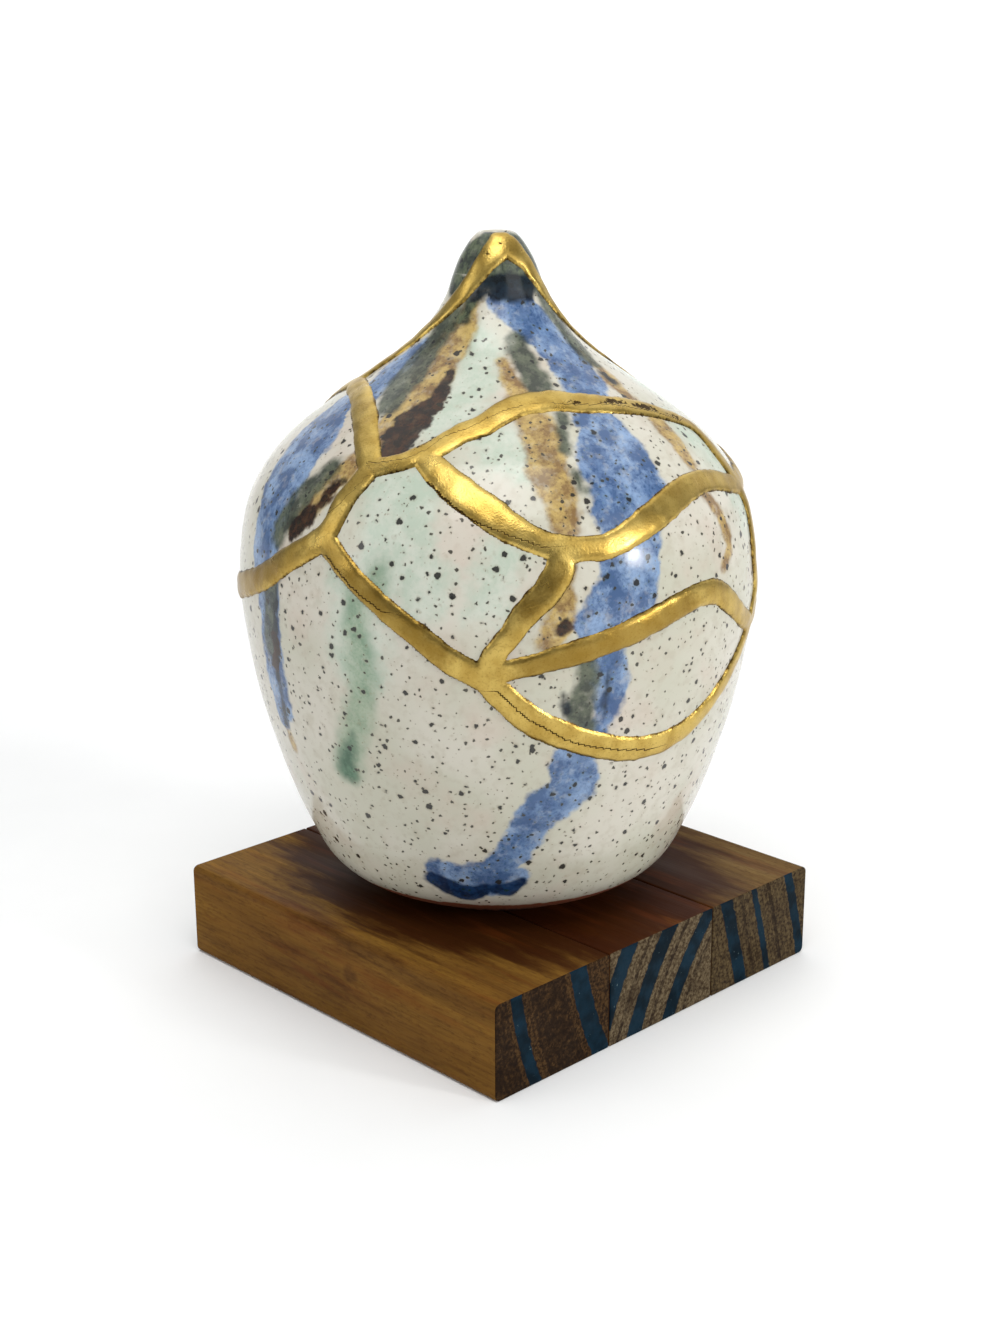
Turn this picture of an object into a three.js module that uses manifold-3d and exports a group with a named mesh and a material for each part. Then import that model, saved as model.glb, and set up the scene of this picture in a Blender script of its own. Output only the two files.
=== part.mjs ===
// A kintsugi vase on its plinth: a thrown stoneware bud vase with a drawn-out tip, broken into shards
// and joined again with gold-topped lacquer, standing on three boards glued side by side.
// Millimetres, +Z up, origin in the middle of the plinth's underside. The boards run along Y, so their
// end grain shows on the faces at -Y and +Y.

import * as THREE from "three";
import { mergeVertices } from "three/addons/utils/BufferGeometryUtils.js";
import Module from "manifold-3d";

const wasm = await Module();
wasm.setup();

// Plinth: three boards of 38 mm stock
const BOARD_COUNT = 3;
const BOARD_WIDTH = 38;
const BOARD_LENGTH = 114;
const BOARD_THICKNESS = 24.4;
const GLUE_LINE = 0.3; // the dark line between two boards
const OUTER_EDGE_ROUND = 1.6; // the plinth's own long edges
const JOINT_EDGE_ROUND = 0.5; // the sanded edges along each glue line
const END_EASE = 0.4; // the sanded edges round the end grain
const BEVEL_SHARE = 0.8; // the ends are eased by no more than this share of a joint's edge

// Vase
const VASE_HEIGHT = 163.5;
const BELLY_RADIUS = 64.1;
const MOUTH_RADIUS = 3; // takes one flower stem
const FOOT_RADIUS = 28.5;
const FOOT_HEIGHT = 1.8; // bare clay below the glaze
const FOOT_FLARE = 1.6; // how much the bare clay widens on its way up
const FOOT_RING_WIDTH = 6;
const FOOT_RECESS = 2; // depth of the trimmed hollow inside the foot ring
const WALL = 5;
const FLOOR = 7; // clay under the cavity, measured from the table
const LIP_ROUND = 1; // radius of the rolled edge round the mouth

// Kintsugi joints
const JOINT_FILL = 1.2; // lacquer between two shards
const CLEARANCE = 0.3; // kept between every two solids that face each other
const GOLD_RISE = 1; // gold above the glaze, at the middle of a band
const GOLD_LIFT = 0.4; // the flat steps of a band's underside stay this far off the glaze
const PAD_STEP = 0.12; // a round pad where bands meet stands this much higher than they do
const CREST_SHARE = 0.6; // the full rise reaches this far towards a band's edge
const JOINT_STOP = 0.2; // the lacquer stops this far short of the inner wall
const CUT_MARGIN = 3.5; // how far the crack cutters reach past both sides of the wall

// How finely the curved faces are cut into flat ones
const TURNS = 32; // round the vase
const SKIN_ROWS = 24; // from foot to lip
const INNER_SKIP = 2; // the inner wall has a row for every second outer one
const SKIN_SAMPLES = 600; // points that measure the smooth outer curve
const SPAN_SAMPLES = 16; // points that measure a crack between two of its named points
const SEAM_SAG = 0.18; // how far a straight step of a gold band may fall short of the curved skin
const DISC_SIDES = 8; // round a junction
const CORNER_STEPS = 2; // round a board's edge
const BEVEL_STEPS = 1;

// The outer curve from the foot to the tip. First number: share of the vase's height. Second: how far
// the radius has grown from the mouth's (0) to the belly's (1).
const BODY_CURVE = [
  [0.031, 0.588],
  [0.061, 0.681],
  [0.104, 0.743],
  [0.159, 0.807],
  [0.232, 0.874],
  [0.318, 0.938],
  [0.416, 0.984],
  [0.502, 1],
  [0.587, 0.972],
  [0.648, 0.907],
  [0.703, 0.786],
  [0.752, 0.619],
  [0.795, 0.452],
  [0.832, 0.316],
  [0.868, 0.218],
  [0.905, 0.155],
  [0.936, 0.124],
  [0.96, 0.098],
  [0.979, 0.069],
  [0.991, 0.046],
  [0.998, 0.024],
];

// Where cracks meet: [azimuth in degrees, height in percent of the vase's]. Azimuth 0 faces the
// plinth's front corner, at -X -Y, and grows to the right as seen from there.
const LEFT_SHOULDER = [-88, 78];
const CROSSING = [-33, 70.2];
const LEFT_FORK = [-39, 61.3];
const ARC_FORK = [-20, 72.2];
const MIDDLE_FORK = [14, 61.2];
const LOWER_FORK = [-2, 43.6];
const RIGHT_UPPER = [77, 63.9];
const RIGHT_LOWER = [74, 43.9];
const BACK_FORK = [-136, 54.5];

const JUNCTIONS = [
  LEFT_SHOULDER,
  CROSSING,
  LEFT_FORK,
  ARC_FORK,
  MIDDLE_FORK,
  LOWER_FORK,
  RIGHT_UPPER,
  RIGHT_LOWER,
  BACK_FORK,
];

// The cracks. A third number widens or narrows the gold at that point.
const CRACKS = {
  crown: {
    gold: 5.2,
    points: [
      LEFT_SHOULDER,
      [-86, 81.3],
      [-80, 84.1],
      [-70, 86.9],
      [-60, 88.8],
      [-51, 90.3],
      [-39, 92.2],
      [-25, 94.2],
      [-8, 95.6, 1.1],
      [13, 96.3, 1.3],
      [36, 95.9, 1.1],
      [54, 94.8],
      [66, 92.8],
      [82, 89.9],
      [98, 85.6],
      [112, 80.1],
      [118, 74],
      [110, 67.9],
      [94, 64.8],
      RIGHT_UPPER,
    ],
  },
  great_arc: {
    gold: 6.2,
    points: [
      BACK_FORK,
      [-118, 50],
      [-98, 47.5],
      [-80, 48.5],
      [-60, 52.8],
      [-49, 57.1],
      LEFT_FORK,
      [-36, 66.5],
      CROSSING,
      [-27, 71],
      ARC_FORK,
      [-11, 74.6],
      [1, 76.8],
      [12, 78.1],
      [32, 77.8],
      [57, 76.3],
      [72, 74.2],
      [79, 71.6],
      [76, 67.4],
      RIGHT_UPPER,
    ],
  },
  shoulder: { gold: 6.2, points: [LEFT_SHOULDER, [-66, 77.6], [-49, 75.5], [-39, 72.7], CROSSING] },
  lens: {
    gold: 6,
    points: [
      ARC_FORK,
      [-8, 68.3],
      [3, 64.2],
      MIDDLE_FORK,
      [25, 61.2],
      [35, 63.5],
      [48, 66.1],
      [61, 66.4],
      RIGHT_UPPER,
    ],
  },
  strut: { gold: 5.2, points: [MIDDLE_FORK, [10, 55.4], [3, 49.8], LOWER_FORK] },
  great_sweep: {
    gold: 6.2,
    points: [
      LEFT_FORK,
      [-33, 57.6],
      [-22, 52.6],
      [-11, 47.2],
      LOWER_FORK,
      [6, 37.9],
      [22, 32.7],
      [37, 30.8],
      [51, 33],
      [64, 38.6],
      RIGHT_LOWER,
    ],
  },
  bow: {
    gold: 5.4,
    points: [LOWER_FORK, [7, 45.6], [20, 47.6], [38, 51], [48, 52.3], [57, 50.3], [66, 46], RIGHT_LOWER],
  },
  right_edge: { gold: 5.4, points: [RIGHT_UPPER, [78, 57], [77, 50.5], RIGHT_LOWER] },
  back_left: {
    gold: 5.8,
    points: [LEFT_SHOULDER, [-104, 75.5], [-118, 70.5], [-128, 63.5], BACK_FORK],
  },
  back: {
    gold: 5.8,
    points: [
      BACK_FORK,
      [-154, 50.5],
      [-172, 43],
      [168, 38.5],
      [146, 39],
      [122, 44.5],
      [98, 46],
      RIGHT_LOWER,
    ],
  },
};

// A point well inside each shard, which tells one from the other once the cracks are cut.
const SHARDS = {
  shard_base: [0, 15],
  shard_left_shoulder: [-80, 65],
  shard_top_front: [10, 85],
  shard_back_with_mouth: [160, 70],
  shard_upper_lens: [30, 70],
  shard_middle_left: [-15, 60],
  shard_middle_right: [50, 58],
  shard_lower_lens: [40, 42],
};

const FRONT_CORNER = THREE.MathUtils.degToRad(225);

const STONEWARE = new THREE.MeshStandardMaterial({ color: 0xd3d2c6, roughness: 0.25 });
const GOLD = new THREE.MeshStandardMaterial({ color: 0xc79a3b, roughness: 0.3, metalness: 1 });
const PINE = new THREE.MeshStandardMaterial({ color: 0x6f4d29, roughness: 0.6 });

// Solids

function solidOf(geometry) {
  const bare = geometry.clone();
  bare.deleteAttribute("normal");
  bare.deleteAttribute("uv");
  const merged = mergeVertices(bare, 1e-4);
  return new wasm.Manifold(
    new wasm.Mesh({
      numProp: 3,
      vertProperties: merged.attributes.position.array,
      triVerts: new Uint32Array(merged.index.array),
    }),
  );
}

function geometryOf(solid) {
  const { vertProperties, triVerts } = solid.getMesh();
  const geometry = new THREE.BufferGeometry();
  geometry.setAttribute("position", new THREE.BufferAttribute(vertProperties, 3));
  geometry.setIndex(new THREE.BufferAttribute(triVerts, 1));
  geometry.computeVertexNormals();
  return geometry;
}

// A closed tube through rings of points, each ring being the same outline at its own place.
function loft(rings, outline) {
  const size = rings[0].length;
  const ends = THREE.ShapeUtils.triangulateShape(outline, []);
  const last = (rings.length - 1) * size;
  const index = [];
  for (let ring = 0; ring < rings.length - 1; ring++) {
    for (let k = 0; k < size; k++) {
      const a = ring * size + k;
      const b = ring * size + ((k + 1) % size);
      index.push(a, b, a + size, b, b + size, a + size);
    }
  }
  for (const [a, b, c] of ends) index.push(a, c, b, last + a, last + b, last + c);
  const geometry = new THREE.BufferGeometry().setFromPoints(rings.flat());
  geometry.setIndex(index);
  return geometry;
}

// The vase's outer curve, measured

function bodyPoint([heightShare, growth]) {
  const radius = MOUTH_RADIUS + growth * (BELLY_RADIUS - MOUTH_RADIUS);
  return new THREE.Vector3(radius, heightShare * VASE_HEIGHT, 0);
}

const outerCurve = new THREE.CatmullRomCurve3(
  [
    new THREE.Vector3(FOOT_RADIUS + FOOT_FLARE, FOOT_HEIGHT, 0),
    ...BODY_CURVE.map(bodyPoint),
    new THREE.Vector3(MOUTH_RADIUS + LIP_ROUND, VASE_HEIGHT, 0),
  ],
  false,
  "centripetal",
);

// Radius, height, outward normal and distance from the foot at each point of the curve.
const skin = [];
for (let i = 0; i <= SKIN_SAMPLES; i++) {
  const { x: radius, y: height } = outerCurve.getPoint(i / SKIN_SAMPLES);
  const along = outerCurve.getTangent(i / SKIN_SAMPLES);
  const before = skin.at(-1);
  const step = before ? Math.hypot(radius - before.radius, height - before.height) : 0;
  const distance = before ? before.distance + step : 0;
  skin.push({ radius, height, outward: along.y, upward: -along.x, distance });
}

function skinAt(key, value) {
  let high = skin.findIndex((sample) => sample[key] >= value);
  if (high < 0) high = skin.length - 1;
  if (high === 0) high = 1;
  const a = skin[high - 1];
  const b = skin[high];
  const share = THREE.MathUtils.clamp((value - a[key]) / (b[key] - a[key]), 0, 1);
  const mixed = {};
  for (const name in a) {
    mixed[name] = THREE.MathUtils.lerp(a[name], b[name], share);
  }
  return mixed;
}

// The wall is WALL thick, except in the tip, where the mouth's bore leaves less.
function wallAt({ radius, outward }) {
  return outward > 0 ? Math.min(WALL, (radius - MOUTH_RADIUS) / outward) : WALL;
}

// A point of the vase at a distance from the foot along the skin, raised off it by a height.
function onSkin(azimuth, distance, raised) {
  const { radius, height, outward, upward } = skinAt("distance", distance);
  const reach = radius + raised * outward;
  const angle = azimuth + FRONT_CORNER;
  return new THREE.Vector3(
    reach * Math.cos(angle),
    reach * Math.sin(angle),
    BOARD_THICKNESS + height + raised * upward,
  );
}

// The unbroken vase

function vaseOutline() {
  const outline = [
    new THREE.Vector2(0, FOOT_RECESS),
    new THREE.Vector2(FOOT_RADIUS - FOOT_RING_WIDTH, FOOT_RECESS),
    new THREE.Vector2(FOOT_RADIUS - FOOT_RING_WIDTH + FOOT_RECESS, 0),
    new THREE.Vector2(FOOT_RADIUS, 0),
  ];
  const inner = [];
  for (let row = 0; row <= SKIN_ROWS; row++) {
    const sample = skin[Math.round((row / SKIN_ROWS) * SKIN_SAMPLES)];
    outline.push(new THREE.Vector2(sample.radius, sample.height));
    const radius = sample.radius - WALL * sample.outward;
    const height = sample.height - WALL * sample.upward;
    const clear = radius > MOUTH_RADIUS && height > FLOOR;
    if (clear && row % INNER_SKIP === 0) inner.unshift(new THREE.Vector2(radius, height));
  }
  for (const degrees of [135, 180]) {
    const turn = THREE.MathUtils.degToRad(degrees);
    outline.push(
      new THREE.Vector2(
        MOUTH_RADIUS + LIP_ROUND + LIP_ROUND * Math.cos(turn),
        VASE_HEIGHT - LIP_ROUND + LIP_ROUND * Math.sin(turn),
      ),
    );
  }
  const neck = inner[0];
  outline.push(new THREE.Vector2(MOUTH_RADIUS, neck.y + (neck.x - MOUTH_RADIUS)));
  const floorEdge = inner.at(-1).x;
  outline.push(...inner, new THREE.Vector2(floorEdge - WALL, FLOOR), new THREE.Vector2(0, FLOOR));
  return outline;
}

function unbrokenVase() {
  const turned = new THREE.LatheGeometry(vaseOutline(), TURNS);
  turned.rotateX(Math.PI / 2);
  turned.translate(0, 0, BOARD_THICKNESS);
  return solidOf(turned);
}

// Cracks

// A crack's middle line: points on the skin with the local directions along and across it.
function crackLine({ gold, points }) {
  const spots = points.map(([degrees, percent, width = 1]) => {
    const spot = skinAt("height", (percent / 100) * VASE_HEIGHT);
    const azimuth = THREE.MathUtils.degToRad(degrees);
    return { width, at: onSkin(azimuth, spot.distance, 0) };
  });
  const curve = new THREE.CatmullRomCurve3(spots.map((spot) => spot.at), false, "centripetal");
  const widths = new THREE.CatmullRomCurve3(
    spots.map((spot, i) => new THREE.Vector3(i, spot.width * gold, 0)),
  );
  // Stations come closer together where the vase is slender: a straight step of sqrt(8 * sag * radius)
  // falls short of the round skin by the sag.
  const fine = [];
  const samples = (points.length - 1) * SPAN_SAMPLES;
  for (let i = 0; i <= samples; i++) {
    const t = i / samples;
    const at = curve.getPoint(t);
    const { radius, distance } = skinAt("height", at.z - BOARD_THICKNESS);
    const azimuth = Math.atan2(at.y, at.x) - FRONT_CORNER;
    const before = fine.at(-1);
    const step = Math.sqrt(8 * SEAM_SAG * radius);
    const count = before ? before.count + at.distanceTo(before.at) / step : 0;
    fine.push({ at, count, azimuth, distance, radius, width: widths.getPoint(t).y });
  }
  // Every junction that the crack runs through has a station of its own.
  const stops = points.flatMap((spot, i) => (JUNCTIONS.includes(spot) ? [fine[i * SPAN_SAMPLES]] : []));
  const line = [stops[0]];
  for (let stop = 1; stop < stops.length; stop++) {
    const from = stops[stop - 1].count;
    const to = stops[stop].count;
    const steps = Math.ceil(to - from);
    for (let i = 1; i <= steps; i++) {
      const wanted = THREE.MathUtils.lerp(from, to, i / steps);
      line.push(fine.find((spot) => spot.count >= wanted));
    }
  }
  // Steps round the vase and up it, in millimetres, give the direction of travel.
  line.forEach((spot, i) => {
    const a = line[Math.max(i - 1, 0)];
    const b = line[Math.min(i + 1, line.length - 1)];
    const turned = Math.atan2(Math.sin(b.azimuth - a.azimuth), Math.cos(b.azimuth - a.azimuth));
    const along = new THREE.Vector2(turned * spot.radius, b.distance - a.distance).normalize();
    spot.along = along;
  });
  return line;
}

// The same line, reaching a little past both of its ends.
function lengthened(line, reach) {
  const moved = (spot, sign) => ({
    ...spot,
    azimuth: spot.azimuth + (sign * reach * spot.along.x) / spot.radius,
    distance: spot.distance + sign * reach * spot.along.y,
  });
  return [moved(line[0], -1), ...line.slice(1, -1), moved(line.at(-1), 1)];
}

// A strip along a crack. outline(spot) gives its section: x across the crack, y above the glaze.
function strip(line, outline) {
  const rings = line.map((spot) =>
    outline(spot).map(({ x, y }) =>
      onSkin(
        spot.azimuth - (x * spot.along.y) / spot.radius,
        spot.distance + x * spot.along.x,
        y,
      ),
    ),
  );
  return solidOf(loft(rings, outline(line[0])));
}

function point(x, y) {
  return new THREE.Vector2(x, y);
}

function lacquerDepth(spot) {
  return JOINT_STOP - wallAt(skinAt("distance", spot.distance));
}

// The cutter is wider than the lacquer by a clearance on each side. It has corners at the lacquer's own
// levels, so that both twist alike.
function cutterOutline(spot) {
  const half = JOINT_FILL / 2 + CLEARANCE;
  const deep = lacquerDepth(spot);
  return [
    point(-half, deep - CUT_MARGIN),
    point(half, deep - CUT_MARGIN),
    point(half, deep),
    point(half, GOLD_LIFT),
    point(half, CUT_MARGIN),
    point(-half, CUT_MARGIN),
    point(-half, GOLD_LIFT),
    point(-half, deep),
  ];
}

// Lacquer between the shards, under a gold band that lies over the glaze on both sides.
function goldOutline(spot) {
  const half = spot.width / 2;
  const crest = half * CREST_SHARE;
  const fill = JOINT_FILL / 2;
  const deep = lacquerDepth(spot);
  return [
    point(-fill, deep),
    point(fill, deep),
    point(fill, GOLD_LIFT),
    point(half, GOLD_LIFT),
    point(crest, GOLD_RISE),
    point(-crest, GOLD_RISE),
    point(-half, GOLD_LIFT),
    point(-fill, GOLD_LIFT),
  ];
}

// A round pad of gold where bands meet.
function pad([degrees, percent], width) {
  const middle = skinAt("height", (percent / 100) * VASE_HEIGHT);
  const azimuth = THREE.MathUtils.degToRad(degrees);
  const ring = [];
  for (let k = 0; k < DISC_SIDES; k++) {
    const turn = (k / DISC_SIDES) * 2 * Math.PI;
    ring.push(point((Math.cos(turn) * width) / 2, (Math.sin(turn) * width) / 2));
  }
  const level = (raised) =>
    ring.map(({ x, y }) => onSkin(azimuth + x / middle.radius, middle.distance + y, raised));
  return solidOf(loft([level(GOLD_LIFT + PAD_STEP), level(GOLD_RISE + PAD_STEP)], ring));
}

const crackLines = Object.values(CRACKS).map(crackLine);

function joined(solids) {
  return solids.reduce((sum, solid) => sum.add(solid));
}

function goldSeams() {
  const bands = crackLines.map((line) => strip(lengthened(line, JOINT_FILL / 2), goldOutline));
  const widest = Math.max(...Object.values(CRACKS).map((crack) => crack.gold));
  const pads = JUNCTIONS.map((junction) => pad(junction, widest));
  const mesh = new THREE.Mesh(geometryOf(joined([...bands, ...pads])), GOLD);
  mesh.name = "gold_seams";
  return mesh;
}

// How near a solid comes to a point, by its vertices.
function nearness(solid, target) {
  const { vertProperties } = solid.getMesh();
  const vertex = new THREE.Vector3();
  let nearest = Infinity;
  for (let i = 0; i < vertProperties.length; i += 3) {
    nearest = Math.min(nearest, vertex.fromArray(vertProperties, i).distanceTo(target));
  }
  return nearest;
}

function shards() {
  const reach = JOINT_FILL / 2 + CLEARANCE;
  const cutters = crackLines.map((line) => strip(lengthened(line, reach), cutterOutline));
  const pieces = unbrokenVase().subtract(joined(cutters)).decompose();
  return Object.entries(SHARDS).map(([name, [degrees, percent]]) => {
    const { distance } = skinAt("height", (percent / 100) * VASE_HEIGHT);
    const target = onSkin(THREE.MathUtils.degToRad(degrees), distance, 0);
    const ranked = pieces.map((piece) => ({ piece, gap: nearness(piece, target) }));
    ranked.sort((a, b) => a.gap - b.gap);
    const mesh = new THREE.Mesh(geometryOf(ranked[0].piece), STONEWARE);
    mesh.name = name;
    return mesh;
  });
}

// Plinth

// A board's section. Its sides are planed back by half a glue line and eased where they meet another
// board, and rounded where they are the plinth's own.
function boardSection(first, last) {
  const left = first ? OUTER_EDGE_ROUND : JOINT_EDGE_ROUND;
  const right = last ? OUTER_EDGE_ROUND : JOINT_EDGE_ROUND;
  const from = -BOARD_WIDTH / 2 + (first ? 0 : GLUE_LINE / 2);
  const to = BOARD_WIDTH / 2 - (last ? 0 : GLUE_LINE / 2);
  const top = BOARD_THICKNESS;
  const section = new THREE.Shape();
  section.moveTo(from + left, 0);
  section.absarc(to - right, right, right, -Math.PI / 2, 0, false);
  section.absarc(to - right, top - right, right, 0, Math.PI / 2, false);
  section.absarc(from + left, top - left, left, Math.PI / 2, Math.PI, false);
  section.absarc(from + left, left, left, Math.PI, 1.5 * Math.PI, false);
  return section;
}

function board(number) {
  const ease = Math.min(END_EASE, JOINT_EDGE_ROUND * BEVEL_SHARE);
  const sawn = new THREE.ExtrudeGeometry(boardSection(number === 0, number === BOARD_COUNT - 1), {
    depth: BOARD_LENGTH - 2 * ease,
    curveSegments: CORNER_STEPS,
    bevelThickness: ease,
    bevelSize: ease,
    bevelOffset: -ease,
    bevelSegments: BEVEL_STEPS,
  });
  sawn.translate(0, 0, ease - BOARD_LENGTH / 2);
  sawn.rotateX(Math.PI / 2);
  sawn.translate((number - (BOARD_COUNT - 1) / 2) * BOARD_WIDTH, 0, 0);
  const mesh = new THREE.Mesh(sawn, PINE);
  mesh.name = `board_${number + 1}`;
  return mesh;
}

const vase = new THREE.Group();
for (const shard of shards()) vase.add(shard);
vase.add(goldSeams());

const plinth = new THREE.Group();
for (let number = 0; number < BOARD_COUNT; number++) plinth.add(board(number));

const part = new THREE.Group();
part.add(vase, plinth);

export default part;
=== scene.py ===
# %% [markdown]
# # A mended vase on three boards
#
# The object is a thrown stoneware bud vase with a speckled glaze. It was broken and then joined again with
# lacquer and gold, and it stands on a small plinth of three boards glued side by side. This lesson rebuilds it
# in the order in which it was made: clay, glaze, gold, wood, and then the light.
#
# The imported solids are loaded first. They fix every place and size, so each piece here is modelled in the same
# frame, in metres, and no piece is moved to fit.

import math

import bmesh
import bpy
import numpy as np
from mathutils import Matrix, Vector, kdtree, noise


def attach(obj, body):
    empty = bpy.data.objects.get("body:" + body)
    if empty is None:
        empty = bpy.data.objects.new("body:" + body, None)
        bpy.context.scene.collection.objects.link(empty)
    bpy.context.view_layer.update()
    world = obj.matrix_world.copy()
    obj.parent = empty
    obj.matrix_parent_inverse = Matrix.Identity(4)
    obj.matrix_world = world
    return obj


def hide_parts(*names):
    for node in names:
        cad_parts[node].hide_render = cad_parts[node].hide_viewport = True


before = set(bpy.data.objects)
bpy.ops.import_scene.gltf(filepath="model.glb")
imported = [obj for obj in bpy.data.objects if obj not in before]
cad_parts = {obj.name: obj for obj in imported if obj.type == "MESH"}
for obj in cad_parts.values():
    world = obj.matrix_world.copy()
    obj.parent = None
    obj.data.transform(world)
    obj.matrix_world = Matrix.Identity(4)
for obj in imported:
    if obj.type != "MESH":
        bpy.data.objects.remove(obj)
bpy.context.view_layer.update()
MM = 0.001
print("pieces in the frame:", len(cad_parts))

# %% [markdown]
# ## The skin of the vase
#
# A potter's curve is easiest to hold as a list of heights and radii, read off from the foot to the tip, with a
# smooth line drawn through them. Everything that is painted on the vase later needs such a line too, so the
# function takes points with any number of values.

# %% Sizes
PLINTH_TOP = 24.4
VASE_HEIGHT = 163.5
WALL = 5.0
MOUTH_RADIUS = 3.0

# Height above the plinth and radius, in millimetres.
SKIN_POINTS = [
    (1.8, 30.1), (5.1, 38.9), (10, 44.6), (17, 48.4), (26, 52.3), (38, 56.4), (52, 60.3), (68, 63.1),
    (82, 64.1), (96, 62.4), (106, 58.4), (115, 51), (123, 40.8), (130, 30.6), (136, 22.3), (142, 16.3),
    (148, 12.4), (153, 10.6), (157, 9), (160.1, 7.2), (162, 5.8), (163.2, 4.5), (163.5, 4),
]


def flowing_line(points, per_span):
    """A smooth line through all the points, each span cut into the same number of steps."""
    p = np.array(points, float)
    p = np.vstack([2 * p[0] - p[1], p, 2 * p[-1] - p[-2]])
    t = np.arange(per_span)[:, None] / per_span
    spans = []
    for a, b, c, d in zip(p, p[1:], p[2:], p[3:]):
        spans.append(b + 0.5 * t * (c - a + t * (2 * a - 5 * b + 4 * c - d + t * (3 * (b - c) + d - a))))
    return np.vstack([*spans, p[-2]])


skin = flowing_line(SKIN_POINTS, 24)
skin_steps = np.diff(skin, axis=0)
skin_length = np.append(0, np.cumsum(np.hypot(*skin_steps.T)))
slope = np.gradient(skin, axis=0)
slope /= np.linalg.norm(slope, axis=1)[:, None]
print(f"the skin is {skin_length[-1]:.0f} mm long from foot to lip")

# %% [markdown]
# Places on the vase are given as an azimuth in degrees and a height in percent of the vase's own. Azimuth 0
# faces the plinth's front corner, and it grows to the right as seen from there.

# %% A place on the vase
FRONT = 225.0


def on_vase(azimuth, percent, raised=0.0):
    """Points on the skin, in millimetres in the frame, raised off it by a height."""
    height = np.asarray(percent) / 100 * VASE_HEIGHT
    radius = np.interp(height, skin[:, 0], skin[:, 1])
    outward = np.interp(height, skin[:, 0], slope[:, 0])
    upward = -np.interp(height, skin[:, 0], slope[:, 1])
    angle = np.radians(np.asarray(azimuth) + FRONT)
    reach = radius + raised * outward
    lift = PLINTH_TOP + height + raised * upward
    return np.stack([reach * np.cos(angle), reach * np.sin(angle), lift], axis=-1)


print("the belly's front is at", on_vase(0, 50).round(1))

# %% [markdown]
# ## Clay
#
# A thrown vase is a turned shape, so the skin is drawn once as a half section. It ends in a small lip round the
# mouth. The clay needs fewer points than the gold, so the step between them can be chosen.

# %% The half section
def section(step, lowest):
    """The half section, as (radius, height) in millimetres, from a height up to the mouth."""
    first = np.interp(lowest, skin[:, 0], skin_length)
    stops = np.linspace(first, skin_length[-1], round((skin_length[-1] - first) / step))
    radius = np.interp(stops, skin_length, skin[:, 1])
    height = np.interp(stops, skin_length, skin[:, 0])
    lip = [(MOUTH_RADIUS + 1 + math.cos(a), VASE_HEIGHT - 1 + math.sin(a)) for a in (1.9, 2.3, 2.7, math.pi)]
    return [*zip(radius, height), *lip]


print("points up the skin:", len(section(1, 1.8)))

# %% [markdown]
# One long spin with hundreds of steps is very slow, so the section is spun through an eighth of a turn and the
# result is doubled three times. Merging the doubled points leaves no seam.
#
# The underside has a trimmed foot ring round a shallow recess, and it is part of the same section.

# %% Spinning the skin
# Radius and height of the underside, from the middle outwards, in millimetres.
FOOT = [(0, 2), (12, 2), (22.5, 2), (24.5, 0), (26.5, 0), (28.5, 0), (29.4, 0.9)]
CLAY_STEP, CLAY_TURNS = 1.05, 384


def finished(bm, name):
    """Ends an edit and gives its mesh."""
    mesh = bpy.data.meshes.new(name)
    bm.to_mesh(mesh)
    bm.free()
    return mesh


def spun(name, outline, turns):
    """Spins a half section round the vase's axis into a mesh."""
    bm = bmesh.new()
    verts = [bm.verts.new((r * MM, 0, (h + PLINTH_TOP) * MM)) for r, h in outline]
    edges = [bm.edges.new(pair) for pair in zip(verts, verts[1:])]
    eighth = math.tau / 8
    bmesh.ops.spin(bm, geom=verts + edges, cent=(0, 0, 0), axis=(0, 0, 1), angle=eighth, steps=turns // 8)
    for reached in (1, 2, 4):
        more = bmesh.ops.duplicate(bm, geom=bm.verts[:] + bm.edges[:] + bm.faces[:])["geom"]
        corners = [v for v in more if isinstance(v, bmesh.types.BMVert)]
        bmesh.ops.rotate(bm, verts=corners, matrix=Matrix.Rotation(eighth * reached, 3, "Z"))
    bmesh.ops.remove_doubles(bm, verts=bm.verts, dist=0.01 * MM)
    bmesh.ops.recalc_face_normals(bm, faces=bm.faces)
    mesh = finished(bm, name)
    mesh.shade_smooth()
    return mesh


clay_skin = spun("clay_skin", FOOT + section(CLAY_STEP, SKIN_POINTS[0][0]), CLAY_TURNS)
print("clay skin:", len(clay_skin.polygons), "faces")

# %% [markdown]
# ## Cracks
#
# The lines of the break are written down by name. Each point is an azimuth, a height in percent, and half the
# width of the gold there in millimetres. The forks where lines meet have names too, so no line can miss another.

# %% The break
LEFT_SHOULDER = (-88, 78, 2.9)
CROSSING = (-33, 70.2, 3.0)
LEFT_FORK = (-39, 61.3, 3.0)
ARC_FORK = (-20, 72.2, 3.0)
MIDDLE_FORK = (14, 61.2, 3.1)
LOWER_FORK = (-2, 43.6, 3.0)
RIGHT_UPPER = (77, 63.9, 2.6)
RIGHT_LOWER = (74, 43.9, 2.4)
BACK_FORK = (-136, 54.5, 3.0)

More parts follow.
